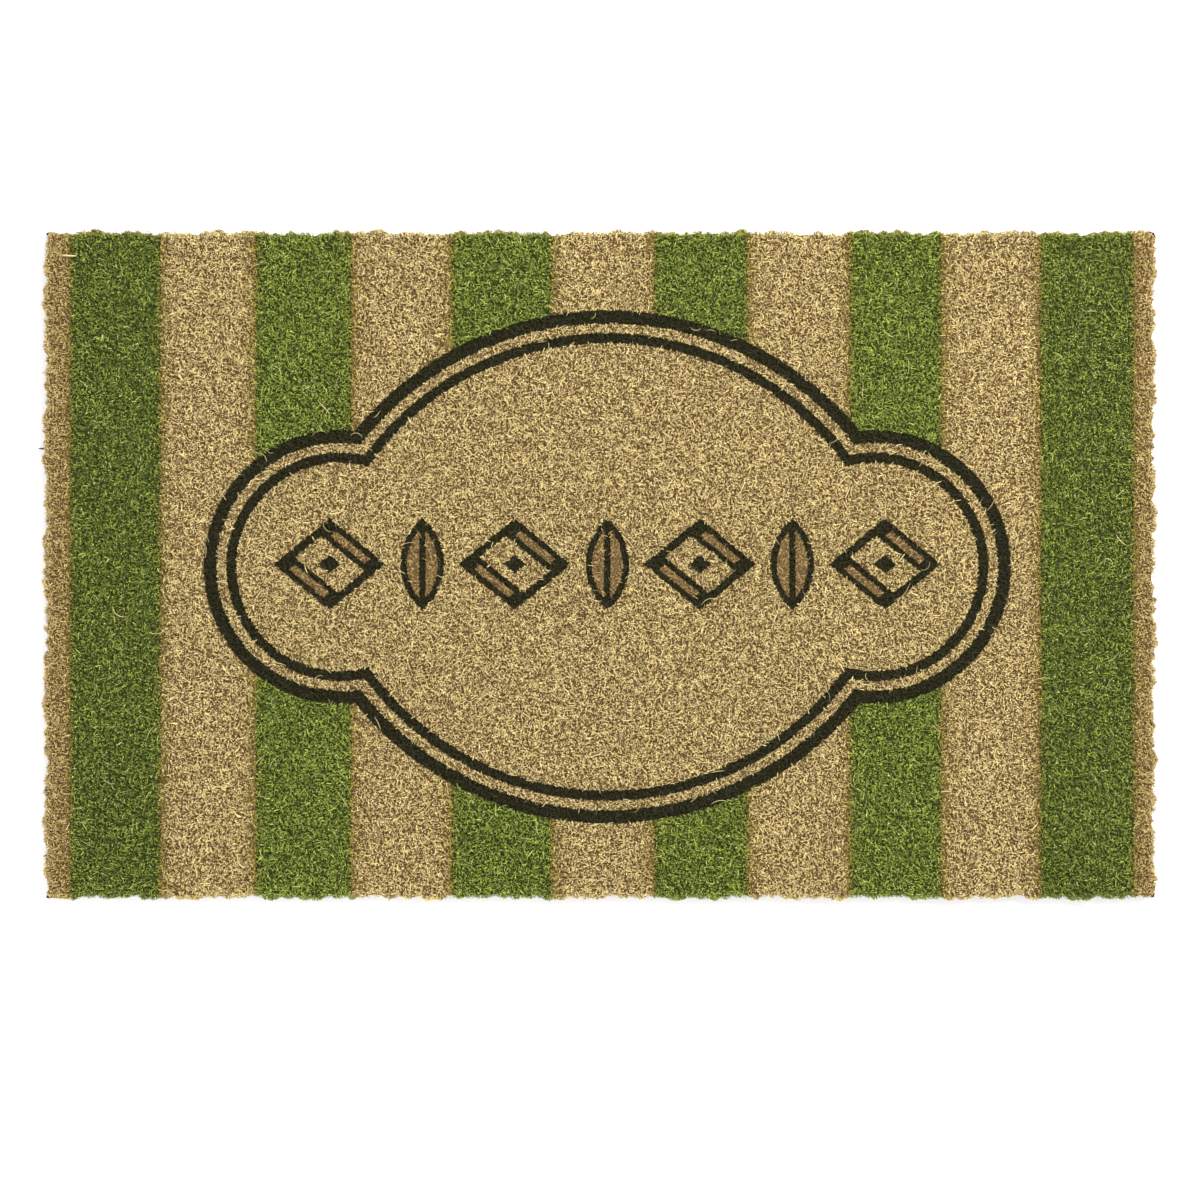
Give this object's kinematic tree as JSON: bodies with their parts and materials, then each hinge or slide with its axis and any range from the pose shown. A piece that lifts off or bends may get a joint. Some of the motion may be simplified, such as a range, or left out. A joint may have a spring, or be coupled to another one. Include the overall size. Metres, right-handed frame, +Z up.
{
  "type": "door mat",
  "caption": "Rectangular coir door mat on a vinyl backing, striped, with a lobed double-lined plaque and a lozenge and leaf frieze.",
  "frame": {"origin": "on the floor under the middle of the mat", "axes": "+X along the mat's length, +Y across it away from the reader, +Z up out of the pile"},
  "size_m": [0.762, 0.4572, 0.016],
  "materials": {
    "vinyl_backing": "matt dark grey vinyl, faintly pebbled",
    "natural_coir": "undyed cut coir, straw to tan",
    "green_coir": "coir dyed olive green",
    "dark_coir": "coir dyed a very dark olive black",
    "brown_coir": "coir dyed toasted brown"
  },
  "bodies": {
    "root": {"backing_sheet": "vinyl_backing", "green_stripe_1": "green_coir", "green_stripe_2_back": "green_coir", "green_stripe_2_front": "green_coir", "green_stripe_3_back": "green_coir", "green_stripe_3_front": "green_coir", "green_stripe_4_back": "green_coir", "green_stripe_4_front": "green_coir", "green_stripe_5_back": "green_coir", "green_stripe_5_front": "green_coir", "green_stripe_6": "green_coir", "leaf_inlay_1_left": "brown_coir", "leaf_inlay_1_right": "brown_coir", "leaf_inlay_2_left": "brown_coir", "leaf_inlay_2_right": "brown_coir", "leaf_inlay_3_left": "brown_coir", "leaf_inlay_3_right": "brown_coir", "leaf_ring_1": "dark_coir", "leaf_ring_2": "dark_coir", "leaf_ring_3": "dark_coir", "lozenge_ground_1": "natural_coir", "lozenge_ground_2": "natural_coir", "lozenge_ground_3": "natural_coir", "lozenge_ground_4": "natural_coir", "lozenge_inlay_1_lower": "brown_coir", "lozenge_inlay_1_upper": "brown_coir", "lozenge_inlay_2_lower": "brown_coir", "lozenge_inlay_2_upper": "brown_coir", "lozenge_inlay_3_lower": "brown_coir", "lozenge_inlay_3_upper": "brown_coir", "lozenge_inlay_4_lower": "brown_coir", "lozenge_inlay_4_upper": "brown_coir", "lozenge_ring_1": "dark_coir", "lozenge_ring_2": "dark_coir", "lozenge_ring_3": "dark_coir", "lozenge_ring_4": "dark_coir", "lozenge_stud_1": "dark_coir", "lozenge_stud_2": "dark_coir", "lozenge_stud_3": "dark_coir", "lozenge_stud_4": "dark_coir", "natural_margin_left": "natural_coir", "natural_margin_right": "natural_coir", "natural_stripe_1": "natural_coir", "natural_stripe_2_back": "natural_coir", "natural_stripe_2_front": "natural_coir", "natural_stripe_3_back": "natural_coir", "natural_stripe_3_front": "natural_coir", "natural_stripe_4_back": "natural_coir", "natural_stripe_4_front": "natural_coir", "natural_stripe_5": "natural_coir", "plaque_band": "natural_coir", "plaque_field": "natural_coir", "plaque_inner_line": "dark_coir", "plaque_outer_line": "dark_coir"}
  },
  "joints": []
}
